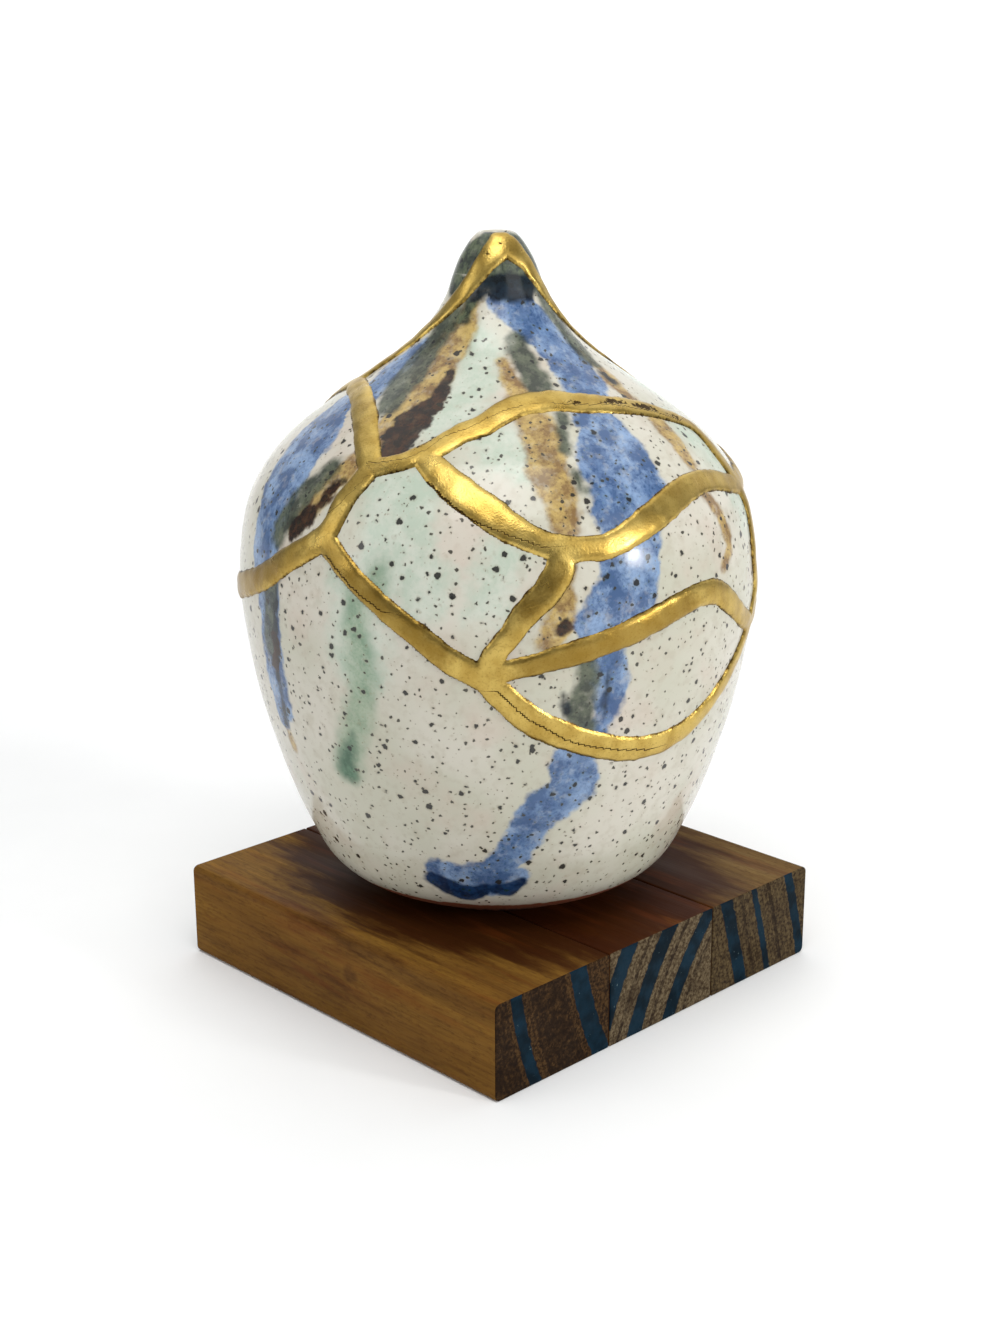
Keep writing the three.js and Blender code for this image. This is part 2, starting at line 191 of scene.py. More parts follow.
CRACKS = {
    "crown_left": [
        LEFT_SHOULDER, (-86, 81.3, 2.3), (-80, 84.1, 2.2), (-70, 86.9, 2.2), (-60, 88.8, 2.2), (-51, 90.3, 2.2),
        (-39, 92.2, 2.2), (-27, 94.2, 2.4), (-14, 96.2, 2.8), (0, 97.6, 3.3), (14, 98.4, 3.8),
    ],
    "crown_right": [
        (14, 98.4, 3.8), (30, 97.8, 3.3), (46, 96.2, 2.5), (57, 94.3, 2.1), (68, 92.4, 2), (82, 89.9, 2.2),
        (98, 85.6, 2.4), (112, 80.1, 2.7), (118, 74, 2.8), (110, 67.9, 2.8), (94, 64.8, 2.8), RIGHT_UPPER,
    ],
    "arc_left": [
        BACK_FORK, (-118, 50, 3), (-98, 47.5, 3.1), (-80, 48.5, 3.2), (-60, 52.8, 3.2), (-49, 57.1, 3.1), LEFT_FORK,
        (-36, 66.5, 2.9), CROSSING,
    ],
    "arc_front": [
        CROSSING, (-27, 71, 2.6), ARC_FORK, (-11, 74.6, 3.1), (-4, 75.7, 3.2), (1, 76.8, 3.3), (9, 77.9, 3.5),
        (21, 78.2, 3.5), (32, 77.8, 3.4), (44, 77.2, 3.2), (57, 76.3, 2.9), (69, 74.7, 2.6), (79, 72.2, 2.4),
        (77, 68, 2.5), RIGHT_UPPER,
    ],
    "shoulder": [LEFT_SHOULDER, (-66, 77.6, 3), (-49, 75.5, 3.3), (-39, 72.7, 3.2), CROSSING],
    "lens": [
        ARC_FORK, (-14, 70.3, 3.5), (-8, 68.3, 3.9), (-2, 66.2, 3.9), (3, 64.2, 3.5), (9, 62.2, 2.9), MIDDLE_FORK,
        (19, 61, 2.8), (25, 61.2, 3), (35, 63.5, 3.4), (44, 65.4, 3.5), (52, 66.5, 3.2), (62, 66.4, 2.8), RIGHT_UPPER,
    ],
    "strut": [
        MIDDLE_FORK, (13, 58.3, 3.4), (10, 55.4, 3.2), (6, 52.7, 2.9), (3, 49.8, 2.6), (0, 47, 2.7), LOWER_FORK,
    ],
    "sweep_left": [LEFT_FORK, (-33, 58, 2.7), (-22, 52.6, 2.7), (-15, 49.3, 2.8), (-9, 46.2, 3), LOWER_FORK],
    "sweep_right": [
        LOWER_FORK, (6, 38.1, 3.4), (13, 35.2, 3.4), (22, 32.7, 3.3), (30, 31.2, 3.2), (37, 30.8, 3.1),
        (44, 31.3, 2.8), (51, 33, 2.5), (58, 35.7, 2.3), (65, 39, 2.2), RIGHT_LOWER,
    ],
    "bow": [
        LOWER_FORK, (2, 44.8, 2.6), (7, 45.6, 2.6), (13, 46.5, 2.8), (20, 47.6, 3), (29, 49.2, 3.1), (38, 51, 3.1),
        (45, 52.1, 3), (52, 52, 3), (58, 49.8, 2.9), (67, 45.8, 2.6), RIGHT_LOWER,
    ],
    "right_edge": [RIGHT_UPPER, (78, 60.6, 2.2), (77, 57, 2.1), (76.5, 52.5, 2.1), (78, 48.4, 2.2), RIGHT_LOWER],
    "back_left": [LEFT_SHOULDER, (-104, 75.5, 2.8), (-118, 70.5, 2.8), (-128, 63.5, 2.8), BACK_FORK],
    "back": [
        BACK_FORK, (-154, 50.5, 2.9), (-172, 43, 2.8), (-192, 38.5, 2.8), (-214, 39, 2.8), (-238, 44.5, 2.8),
        (-262, 46, 2.7), (-286, 43.9, 2.4),
    ],
}
print("cracks:", ", ".join(CRACKS))

# %% [markdown]
# A crack is drawn with the same smooth line as the skin and cut into even steps, because the next cell asks for
# the nearest step.

# %% Crack lines
def crack_line(points, spacing=0.3):
    """A crack as close points: azimuth, percent, half width, and millimetres along it."""
    line = flowing_line(points, 40)
    spots = on_vase(line[:, 0], line[:, 1])
    length = np.append(0, np.cumsum(np.linalg.norm(np.diff(spots, axis=0), axis=1)))
    even = np.linspace(0, length[-1], max(8, round(length[-1] / spacing)))
    return np.column_stack([*(np.interp(even, length, column) for column in line.T), even])


crack_lines = {name: crack_line(points) for name, points in CRACKS.items()}
crack_length = sum(line[-1, 3] for line in crack_lines.values())
print(f"{crack_length:.0f} mm of cracks")

# %% [markdown]
# Everything drawn on the vase needs to know how far each point of the mesh is from a line. A k-d tree of the
# line's close points answers that quickly.

# %% Distance to a line
def places(mesh):
    """All of a mesh's points, in millimetres."""
    co = np.empty(len(mesh.vertices) * 3)
    mesh.vertices.foreach_get("co", co)
    return co.reshape(-1, 3) / MM


def nearest(points, targets):
    """For each point, the number of the nearest target and the distance to it."""
    tree = kdtree.KDTree(len(targets))
    for number, target in enumerate(targets):
        tree.insert(target, number)
    tree.balance()
    found = [tree.find(p) for p in points]
    return np.array([f[1] for f in found]), np.array([f[2] for f in found])


all_cracks = np.vstack(list(crack_lines.values()))
crack_spots = on_vase(all_cracks[:, 0], all_cracks[:, 1])
print("steps along the cracks:", len(crack_spots))

# %% [markdown]
# ## Shards
#
# The faces that the cracks run through are taken out of the spun skin, and it falls apart into separate shells,
# as the real one fell into shards. The shells are found by walking from face to face.

# %% Falling apart
JOINT_HALF = 0.75  # half the gap between two shells, in millimetres
SHARD_COUNT = 8


def loose_groups(bm):
    """Groups of faces that hang together."""
    seen = set()
    groups = []
    for start in bm.faces:
        if start in seen:
            continue
        group, queue = [], [start]
        seen.add(start)
        while queue:
            face = queue.pop()
            group.append(face)
            for other in (f for edge in face.edges for f in edge.link_faces):
                if other not in seen:
                    seen.add(other)
                    queue.append(other)
        groups.append(group)
    return groups


def shells(mesh):
    """Cuts the skin along the cracks and gives each loose shell as a mesh of its own."""
    _, away = nearest(places(mesh), crack_spots)
    bm = bmesh.new()
    bm.from_mesh(mesh)
    cut = [f for f in bm.faces if min(away[v.index] for v in f.verts) < JOINT_HALF]
    bmesh.ops.delete(bm, geom=cut, context="FACES")
    largest = sorted(loose_groups(bm), key=len)[-SHARD_COUNT:]
    made = []
    for kept in [{f.index for f in group} for group in largest]:
        part = bm.copy()
        rest = [f for f in part.faces if f.index not in kept]
        bmesh.ops.delete(part, geom=rest, context="FACES")
        made.append(finished(part, "shell"))
    bm.free()
    return made


loose = shells(clay_skin)
print("faces in each shell:", [len(mesh.polygons) for mesh in loose])

# %% [markdown]
# Each shard is known by a place on it, an azimuth and a height in percent. The shell that is nearest to that
# place gets the shard's name.

# %% Naming the shards
SHARD_SPOTS = {
    "shard_base": (0, 15), "shard_left_shoulder": (-80, 65), "shard_top_front": (10, 85),
    "shard_back_with_mouth": (160, 70), "shard_upper_lens": (30, 70), "shard_middle_left": (-15, 60),
    "shard_middle_right": (50, 58), "shard_lower_lens": (40, 42),
}
shell_points = [places(mesh) for mesh in loose]
shard_skins = {}
for name, (azimuth, percent) in SHARD_SPOTS.items():
    spot = on_vase(azimuth, percent)
    gaps = [np.linalg.norm(points - spot, axis=1).min() for points in shell_points]
    shard_skins[name] = loose[int(np.argmin(gaps))]
    shard_skins[name].name = name
print("shards:", ", ".join(shard_skins))

# %% [markdown]
# A Solidify modifier gives each shell its wall, inwards from the skin. A vertex group thins it in the tip, where
# the mouth's bore leaves less clay. Every shard rides on the part's only body and stands for its own node.

# %% Walls
THINNEST = 0.04  # the share of the wall that is left at the lip


def shown(name, mesh):
    """Puts a finished mesh into the scene."""
    piece = bpy.data.objects.new(name, mesh)
    bpy.context.scene.collection.objects.link(piece)
    return piece


shards = {}
for name, mesh in shard_skins.items():
    mesh.shade_smooth()
    piece = shown(name + "_glazed", mesh)
    thin = piece.vertex_groups.new(name="wall")
    points = places(mesh)
    from_bore = np.hypot(points[:, 0], points[:, 1]) - MOUTH_RADIUS
    in_foot = points[:, 2] < PLINTH_TOP + 10
    share = np.where(in_foot, 1, np.clip(from_bore / WALL, THINNEST, 1))
    for number, value in enumerate(share):
        thin.add([number], float(value), "REPLACE")
    wall = piece.modifiers.new("wall", "SOLIDIFY")
    wall.thickness = WALL * MM
    wall.offset = -1
    wall.vertex_group = "wall"
    shards[name] = piece
    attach(piece, "root")
    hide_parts(name)
print("shards with a wall:", len(shards))

# %% [markdown]
# ## Glaze washes
#
# The colours were brushed and poured over a white glaze, and ran down in the kiln. Each wash is written as the
# strokes that laid it down: a few points with an azimuth, a height and half the stroke's width.

# %% Strokes
WASHES = {
    "pale_green": [
        [(-12, 85.6, 4.7), (-10, 80.8, 5.8), (-18, 75.1, 5)], [(1, 73, 6.7), (12, 70.6, 4.5)], [(-22, 67, 9.3),
        (-20, 59.5, 9.2), (-14, 56, 7)], [(2, 60, 5), (-2, 54, 5)], [(75, 72, 7.9), (74, 62.1, 7.8)], [(-29, 55, 8),
        (-29, 44, 7)], [(100, 78, 9), (108, 60, 9)], [(170, 74, 12), (165, 60, 10)],
    ],
    "green": [
        [(-29, 53, 3.2), (-29, 47.3, 3.6), (-28.5, 42.3, 3.9), (-30, 37.1, 3.7), (-34, 31.2, 4), (-36.5, 27, 4)],
        [(-24, 58, 2.2), (-25, 55.2, 3)], [(-175, 62, 3), (-176, 50, 4), (-178, 34, 4)],
    ],
    "drip": [[(-33, 33, 1), (-35.5, 29, 2.2), (-36.5, 26.6, 2.9)]],
    "ochre": [
        [(5, 82.7, 1.9), (8, 80.3, 2.5), (14, 75.8, 4.6), (14, 72.9, 4.7), (14, 69.8, 5), (15, 67.2, 4.5),
        (15, 64.4, 3.4)], [(14.5, 59, 2.4), (14, 57.5, 2.5), (14, 54.9, 2.7), (13, 51.7, 3.4), (11, 48.9, 3.3)],
        [(-26, 90.4, 2), (-31, 86.6, 4), (-35, 83.2, 5.6), (-33, 80.4, 6), (-32, 77.3, 6.8), (-33, 74.6, 5.8),
        (-31, 72, 3.6)], [(-38, 72.3, 2.2), (-43, 67.7, 3.8), (-45, 65, 3.2), (-49, 61.7, 2.6)], [(60, 80, 1.8),
        (62, 75.5, 2.4), (60, 72.3, 2.9), (58, 69, 2.2)], [(56, 65.6, 1.6), (59, 61.6, 1.9), (60, 57.9, 2),
        (57, 54.8, 1.4)], [(66, 83, 2), (64, 79.5, 2.4)], [(-58, 33, 1.6), (-57, 27, 1.3)], [(-138, 87, 2.4),
        (-141, 82, 3.6), (-144, 75, 5), (-140, 66, 3.6), (-142, 59, 2)], [(150, 60, 2), (149, 48, 2.6), (151, 41, 2)],
    ],
    "blue": [
        [(14, 90.6, 4.4), (28, 88.8, 5.6), (40, 86.4, 6.2), (46, 83.7, 6.6), (45, 80.9, 6.6), (37, 76.7, 5.4),
        (35, 73.3, 8.4), (33, 70.7, 10), (34, 68.2, 9.6), (31, 65.2, 8.8), (30, 62.3, 8.2), (29, 58.8, 7.5),
        (28, 54.3, 7.3), (22, 51.6, 6.2), (23, 47.5, 4.8), (24, 43.5, 4.5), (24, 39.5, 4.1), (22.5, 36.2, 3.2),
        (19, 32.5, 4.6), (17.5, 30, 5.8), (17, 25.7, 6.2), (11, 22.7, 5.4), (8, 19.4, 4.6), (4, 15.2, 4.6),
        (-1, 12, 4.6), (-8, 10.6, 4.4), (-16, 11.3, 4.1)], [(5, 10.8, 3.6), (-1, 9.4, 3.8), (-10, 8.4, 3.6)],
        [(-61, 84.2, 2.8), (-64, 81.6, 5.4), (-61, 79.5, 4.9), (-57, 77.6, 3)], [(-69, 76, 5.7), (-67, 73.7, 8.6),
        (-63, 70.6, 9.6), (-62, 67, 9.2), (-60, 63.2, 8), (-60, 59.4, 7), (-59, 55, 6)], [(-56, 51.3, 5.6),
        (-56, 47.2, 5), (-57, 38.7, 5.2), (-57, 34.3, 4.6), (-58, 31.5, 3)], [(182, 91, 3), (178, 84, 4.4),
        (170, 76, 7.6), (168, 68, 9.5), (173, 60, 6), (176, 52, 4.4), (170, 41, 5.2), (171, 31, 3.6), (164, 23, 5.4),
        (160, 18, 4)], [(-122, 86, 3), (-118, 80, 4.6), (-111, 72, 7), (-113, 62, 4.6), (-110, 56, 3)],
    ],
    "deep_blue": [
        [(16, 90, 2.4), (28, 88.8, 3.2), (38, 86.6, 3.6), (44, 83.8, 3.8), (43, 81, 3.4), (37, 77.5, 2)],
        [(27, 72, 2.4), (26, 69, 3), (24, 66.4, 2)], [(40, 68, 2), (38, 64.5, 2.4)], [(23, 49, 2), (24, 43.5, 2.2),
        (23.5, 37, 2), (18.5, 30, 3.2), (12, 22.9, 3.4), (5, 16, 2.8), (-2, 12, 2.8)], [(-62, 82, 2.6), (-66, 74, 3)],
        [(-60, 62, 2.6), (-59, 57, 2.6)], [(176, 82, 2), (169, 72, 4), (171, 62, 3), (170, 40, 2.6)],
    ],
    "pool": [
        [(-19, 9.8, 2.2), (-14, 8.4, 2.6), (-10, 7.4, 3), (-6, 7.6, 2.6), (-3, 8.6, 1.6)], [(0, 8.4, 1.8),
        (3.5, 8.4, 2.4), (7, 9.8, 1.5)],
    ],
    "grey_green": [
        [(14, 85.5, 2.8), (17, 83.3, 3.3), (19, 81.4, 3.4), (20, 79.6, 3.2)], [(55, 94, 2.4), (72, 90.1, 4),
        (72, 86.8, 3.9), (67, 84.2, 3.3), (65, 81.6, 2.4)], [(-46, 89.6, 2.4), (-48, 87.6, 3.2), (-51, 84.4, 4),
        (-47, 81.3, 4.8), (-46, 79.4, 4.8), (-43, 77, 3.4)], [(-45, 69.6, 2.6), (-49, 66.1, 3.4), (-52, 63.1, 3.6),
        (-54, 60, 3)], [(-55, 53, 3.4), (-56, 47.2, 3), (-57, 42.9, 3)], [(18, 46.3, 2.3), (19, 42.6, 2.9),
        (18, 39.4, 3.5), (18.5, 36.2, 3.8)], [(23, 76.5, 1.5), (20, 72.7, 1.6)], [(20, 70.2, 1.2), (21, 68.2, 1.3)],
        [(-146, 90, 2), (-150, 84, 3.4), (-152, 77, 4.2), (-149, 72, 2)],
    ],
    "tip": [
        [(-110, 96.5, 6), (-80, 96, 7), (-55, 96, 6.5), (-30, 98, 4), (0, 99.6, 3), (60, 98, 4), (100, 96.6, 6),
        (130, 98, 4), (170, 96, 7), (200, 97.6, 4), (235, 96, 6), (250, 96.5, 6)], [(-75, 93, 2.5), (-55, 92.5, 3)],
        [(-6, 94.4, 3), (14, 95, 4), (34, 94.2, 3.4)], [(50, 95, 4), (70, 95, 5)], [(-24, 91.5, 1.4), (-31, 88.4, 2)],
    ],
    "navy": [
        [(-14, 92.6, 2), (2, 92.6, 3.4), (20, 92.5, 3.7), (40, 92.2, 3)], [(-24, 91.2, 1.4), (-14, 92.4, 1.6)],
        [(-52, 53.8, 0.7), (-53, 47.7, 0.9), (-55.5, 41, 1), (-56, 34.9, 1), (-57, 31, 1.3)], [(61, 80.6, 1.4),
        (63, 79.4, 1.6)], [(23.5, 43.6, 0.5), (23, 37, 0.6)], [(14, 41, 0.8), (15, 38.4, 1)],
    ],
    "iron": [
        [(-24, 81.7, 1), (-23, 78.9, 2), (-26, 77, 3.5), (-29, 74.8, 4.6), (-30, 72.2, 3.6)], [(-40, 67.8, 0.9),
        (-44, 64.5, 1.6), (-46, 63.1, 2.1), (-49, 60.7, 1.9)], [(-54, 44.5, 1.6), (-56, 40.5, 1.6)], [(13.5, 51, 1.2),
        (13.5, 50.3, 1.3)], [(-138, 72, 1.2), (-141, 66, 2.4), (-142, 60.5, 1.6)],
    ],
}
print("strokes:", sum(len(strokes) for strokes in WASHES.values()))

# %% [markdown]
# Every point of a shard gets one number for each wash, the distance in millimetres inside its edge. The material
# turns that into colour and roughens the edge with noise, so the edges are finer than the mesh. Far from the
# strokes the distance stops at a limit.

# %% Writing the washes
FARTHEST = 12.0


def note(mesh, name, values):
    """Writes one number for each point of a mesh, for a material to read."""
    mesh.attributes.new(name, "FLOAT", "POINT").data.foreach_set("value", values.astype(np.float32))


def inside_strokes(points, strokes):
    """How many millimetres each point lies inside the strokes' edges, negative outside."""
    line = np.vstack([crack_line(stroke, 0.6) for stroke in strokes])
    number, away = nearest(points, on_vase(line[:, 0], line[:, 1]))
    return np.clip(line[number, 2] - away, -FARTHEST, FARTHEST)


for name, piece in shards.items():
    points = places(piece.data)
    for wash, strokes in WASHES.items():
        note(piece.data, wash, inside_strokes(points, strokes))
print("washes:", ", ".join(WASHES))

# %% [markdown]
# ## Helpers for materials
#
# Colours are picked as hex values on a screen, so one function turns them to the linear values that the shader
# works in. A second one adds a shader node with its settings and its links in one call. Everything else about a
# material is kept in small tables, and the last function lays a table's colours over one another.

# %% Material helpers
def linear(code):
    """A screen colour such as #6B8BC4, as linear red, green, blue and alpha."""
    channels = [int(code[i : i + 2], 16) / 255 for i in (1, 3, 5)]
    return (*(c / 12.92 if c <= 0.04045 else ((c + 0.055) / 1.055) ** 2.4 for c in channels), 1)


def node(kind, sockets=None, **settings):
    """Adds a node to the tree in hand.

    settings go on the node. sockets holds a value for each input, or the node or output to link to it. A node
    is linked by its first output that is in use.
    """
    made = tree.nodes.new("ShaderNode" + kind)
    for name, value in settings.items():
        setattr(made, name, value)
    for socket, value in (sockets or {}).items():
        if isinstance(value, bpy.types.Node):
            value = next(output for output in value.outputs if output.enabled)
        if isinstance(value, bpy.types.NodeSocket):
            tree.links.new(value, made.inputs[socket])
        else:
            made.inputs[socket].default_value = value
    return made


def per_metre(size_mm):
    """The Scale of a noise or Voronoi texture whose features are this many millimetres across."""
    return 1 / (size_mm * MM)


def new_material(name):
    material = bpy.data.materials.new(name)
    material.use_nodes = True
    material.node_tree.nodes.clear()
    return material, material.node_tree


# Settings that come back often: a range with soft ends, and a mix of two colours.
SMOOTH = {"interpolation_type": "SMOOTHSTEP"}
COLOURS = {"data_type": "RGBA"}


def layered(colour, masks, layers):
    """Lays a table's colours over one another: mask, where it starts and where it is full, strength, colour."""
    for mask, low, high, strength, code in layers:
        amount = node("MapRange", {0: masks[mask], 1: low, 2: high, 4: strength}, **SMOOTH)
        colour = node("Mix", {0: amount, 6: colour, 7: linear(code)}, **COLOURS)
    return colour


print("cream glaze in linear light:", [round(c, 3) for c in linear("#D6D2C4")])

# %% [markdown]
# ## Glazed stoneware
#
# The glaze is a glossy, slightly soft white, so its surface is an ordinary one of low roughness. The white isn't
# even: where the glaze ran thin, the clay warms it.

# %% Glaze ground
glaze, tree = new_material("glazed_speckled_stoneware")
place = node("TexCoord").outputs["Object"]

# Clouds of noise: size in mm, detail and roughness.
GLAZE_CLOUDS = {
    "poured": (26, 2, 0.5), "thin": (2.6, 3, 0.5), "blush": (17, 3, 0.5), "edge": (4.2, 3, 0.5),
    "holes": (2.8, 3, 0.6), "grain": (0.8, 3, 0.6), "sheen": (9, 2, 0.5), "swell": (14, 2, 0.5),
}
masks = {}
for name, (size, detail, roughness) in GLAZE_CLOUDS.items():
    sockets = {"Vector": place, "Scale": per_metre(size), "Detail": detail, "Roughness": roughness}
    masks[name] = node("TexNoise", sockets)

# Layers over the white.
GROUND = [
    ("poured", 0.35, 0.65, 1.0, "#C3C1AF"), ("thin", 0.45, 0.75, 0.4, "#B0A792"),
    ("blush", 0.5, 0.7, 0.35, "#C9B3A4"),
]
colour = layered(linear("#CFCABC"), masks, GROUND)
print("ground layers:", len(GROUND))

# %% [markdown]
# Each wash has a pale tone where it ran thin and a deep one where it stood thick. The distance inside its edge,
# moved in and out by noise, decides where it covers the white, and small holes in it let the white through.

# %% Glaze washes
# Pale and deep tone, size of its clouds, softness and raggedness of its edge in mm, and how well it covers where
# it has holes and where it hasn't.
TONES = {
    "pale_green": ("#CBD2C4", "#B4C4B2", 7, 3.5, 2.5, 0.6, 0.8),
    "green": ("#9DAF95", "#6A8B6E", 10, 2.4, 0.8, 0.6, 0.8),
    "drip": ("#4E755A", "#28543D", 3, 1.8, 0.6, 0.65, 0.87),
    "ochre": ("#C0A25A", "#7C5A26", 4.5, 1.0, 1.1, 0.7, 0.92),
    "blue": ("#839FC4", "#355684", 6.0, 0.8, 1.2, 0.72, 0.95),
    "deep_blue": ("#4F6F9B", "#264573", 4, 2.6, 1.6, 0.2, 0.6),
    "grey_green": ("#5A614E", "#2A332A", 4, 1.2, 1.0, 0.8, 0.95),
    "tip": ("#5C674F", "#25302A", 3, 0.9, 0.9, 0.85, 0.96),
    "pool": ("#14375F", "#08203F", 3, 0.6, 0.5, 0.93, 0.98),
    "navy": ("#15242F", "#070D13", 4, 0.9, 0.7, 0.9, 0.97),
    "iron": ("#3E2210", "#140904", 2.6, 0.6, 1.5, 0.93, 0.98),
}
fray = node("Math", {0: masks["edge"], 1: 0.5}, operation="SUBTRACT")
grain = node("MapRange", {0: masks["grain"], 1: 0.45, 2: 0.7, 4: 0.4}, **SMOOTH)
for wash, (pale, deep, size, soft, ragged, thin, thick) in TONES.items():
    depth = node("Attribute", attribute_name=wash).outputs["Fac"]
    frayed = node("Math", {0: fray, 1: 4 * ragged, 2: depth}, operation="MULTIPLY_ADD")
    covered = node("MapRange", {0: frayed, 1: -soft, 2: soft}, **SMOOTH)
    strength = node("MapRange", {0: masks["holes"], 1: 0.3, 2: 0.5, 3: thin, 4: thick}, **SMOOTH)
    cover = node("Math", {0: covered, 1: strength}, operation="MULTIPLY")
    sockets = {"Vector": place, "Scale": per_metre(size), "Detail": 4.0, "Roughness": 0.6, "Distortion": 0.2}
    shade = node("MapRange", {0: node("TexNoise", sockets), 1: 0.36, 2: 0.64}, **SMOOTH)
    shade = node("Math", {0: shade, 1: grain}, operation="ADD", use_clamp=True)
    tone = node("Mix", {0: shade, 6: linear(pale), 7: linear(deep)}, **COLOURS)
    colour = node("Mix", {0: cover, 6: colour, 7: tone}, **COLOURS)
print("washes in the glaze:", len(TONES))

# %% [markdown]
# The specks are Voronoi cells in space, shaken a little by noise. The surface cuts the round cells at any depth,
# which gives specks of many sizes, as real iron in the clay does. A speck can only darken what it burns through,
# so it is mixed in with Darken. Near the foot the glaze was wiped, and the clay shows as a thin brown line.

# %% Glaze specks and gloss
WIPED_FROM, WIPED_TO = PLINTH_TOP + 8.0, PLINTH_TOP + 7.4
# Cell size and radius in mm, share of the cells that have a speck, colour and strength.
SPECKS = [
    (1.25, 0.2, 0.6, "#857A68", 0.6), (1.8, 0.52, 0.8, "#3A3832", 0.92), (3.4, 0.95, 0.7, "#262524", 0.95),
]
shaken = node("TexNoise", {"Vector": place, "Scale": per_metre(0.9), "Detail": 1.0}).outputs["Color"]
shift = node("VectorMath", {0: shaken, 1: (0.5, 0.5, 0.5)}, operation="SUBTRACT")
shift = node("VectorMath", {0: shift, "Scale": 0.9 * MM}, operation="SCALE")
moved = node("VectorMath", {0: place, 1: shift}, operation="ADD")
for size, radius, share, code, strength in SPECKS:
    cells = node("TexVoronoi", {"Vector": moved, "Scale": per_metre(size)})
    chance = node("SeparateColor", {"Color": cells.outputs["Color"]})
    own = {0: chance.outputs["Green"], 1: 0.6 * radius / size, 2: 0.4 * radius / size}
    own = node("Math", own, operation="MULTIPLY_ADD")
    inside = node("Math", {0: own, 1: cells.outputs["Distance"]}, operation="SUBTRACT")
    there = node("Math", {0: chance.outputs["Red"], 1: share}, operation="LESS_THAN")
    for low, high, most, tint in ((-0.35, 0, 0.2, "#8F7C5C"), (0, 0.25, strength, code)):
        limits = {0: inside, 1: low * radius / size, 2: high * radius / size, 4: most}
        amount = node("Math", {0: node("MapRange", limits, **SMOOTH), 1: there}, operation="MULTIPLY")
        colour = node("Mix", {0: amount, 6: colour, 7: linear(tint)}, blend_type="DARKEN", **COLOURS)

height = node("Math", {0: node("SeparateXYZ", {0: place}).outputs["Z"], 1: 1 / MM}, operation="MULTIPLY")
height = node("Math", {0: fray, 1: 1.6, 2: height}, operation="MULTIPLY_ADD")
wiped = node("MapRange", {0: height, 1: WIPED_FROM, 2: WIPED_TO}, **SMOOTH)
colour = node("Mix", {0: wiped, 6: colour, 7: linear("#743A1C")}, **COLOURS)

gloss = node("MapRange", {0: masks["sheen"], 1: 0.3, 2: 0.7, 3: 0.13, 4: 0.2}, **SMOOTH)
gloss = node("Math", {0: gloss, 1: node("Math", {0: wiped, 1: 0.8}, operation="MULTIPLY")}, operation="MAXIMUM")
turning = node("VectorMath", {0: place, 1: (0.06, 0.06, 1)}, operation="MULTIPLY")
rings = node("TexNoise", {"Vector": turning, "Scale": per_metre(5)})
relief = node("Math", {0: rings, 1: 0.35, 2: masks["swell"]}, operation="MULTIPLY_ADD")
ripple = node("Bump", {"Height": relief, "Strength": 0.14, "Distance": 1.2 * MM})
surface = {"Base Color": colour, "Roughness": gloss, "Specular IOR Level": 0.4, "Normal": ripple}
node("OutputMaterial", {"Surface": node("BsdfPrincipled", surface)})
print("glaze:", len(tree.nodes), "nodes")

# %% [markdown]
# ## Bare stoneware
#
# The foot is wiped clean so that it doesn't stick to the kiln shelf. It fires to a rough reddish brown.

# %% Bare clay
BARE_HEIGHT = 1.9  # the glaze never comes below this
bare, tree = new_material("unglazed_stoneware")
place = node("TexCoord").outputs["Object"]
mottle = node("TexNoise", {"Vector": place, "Scale": per_metre(1.6), "Detail": 4.0})
mottle = node("MapRange", {0: mottle, 1: 0.35, 2: 0.65}, **SMOOTH)
clay = node("Mix", {0: mottle, 6: linear("#8A4C2A"), 7: linear("#5C3019")}, **COLOURS)
grit = node("TexNoise", {"Vector": place, "Scale": per_metre(0.7), "Detail": 3.0})
rough = node("Bump", {"Height": grit, "Strength": 0.5, "Distance": 0.2 * MM})
node("OutputMaterial", {"Surface": node("BsdfPrincipled", {"Base Color": clay, "Roughness": 0.85, "Normal": rough})})

for piece in shards.values():
    piece.data.materials.append(glaze)
    piece.data.materials.append(bare)
    for face in piece.data.polygons:
        face.material_index = int(face.center.z < (PLINTH_TOP + BARE_HEIGHT) * MM)
print("glazed and bare:", len(shards), "shards")

# %% [markdown]
# ## Gold
#
# Lacquer is laid over each joint with a brush and dusted with gold while it is tacky, so the bands are low
# rounded ridges with slightly uneven edges, which a pipe along the crack wouldn't have. Here a fine skin is spun
# and raised by the distance to the nearest crack. Where bands meet, they join without a seam.

# %% The height of the gold
GOLD_STEP, GOLD_LOWEST, GOLD_TURNS = 0.5, 44, 800
GOLD_RISE = 0.75  # millimetres above the glaze, at the middle of a band
EDGE_DROP = 0.3  # how far the band's rim dips into the glaze
EDGE_WANDER, SWELL = 0.3, 0.16  # how uneven its edges are in millimetres, and its height as a share

gold_skin = spun("gold_seams_dusted", section(GOLD_STEP, GOLD_LOWEST), GOLD_TURNS)
points = places(gold_skin)
number, away = nearest(points, crack_spots)
wander = np.array([noise.noise(Vector(p) / 2.6) + 0.8 * noise.noise(Vector(p) / 7) for p in points])
swell = np.array([noise.noise(Vector(p) / 3.4 + Vector((7, 0, 0))) for p in points])
half = all_cracks[number, 2] + EDGE_WANDER * wander
share = np.clip(away / half, 0, 1)
ridge = GOLD_RISE * (1 + SWELL * swell) * (1 - share**3) ** 0.5
rise = np.where(away < half, ridge, -np.minimum(away - half, EDGE_DROP))
print(f"the gold rises {rise.max():.2f} mm at most")

# %% [markdown]
# Each point moves out along its own normal, and the faces beyond the bands' edges are taken away. At the tip the
# gold stops just below the vase's own top.

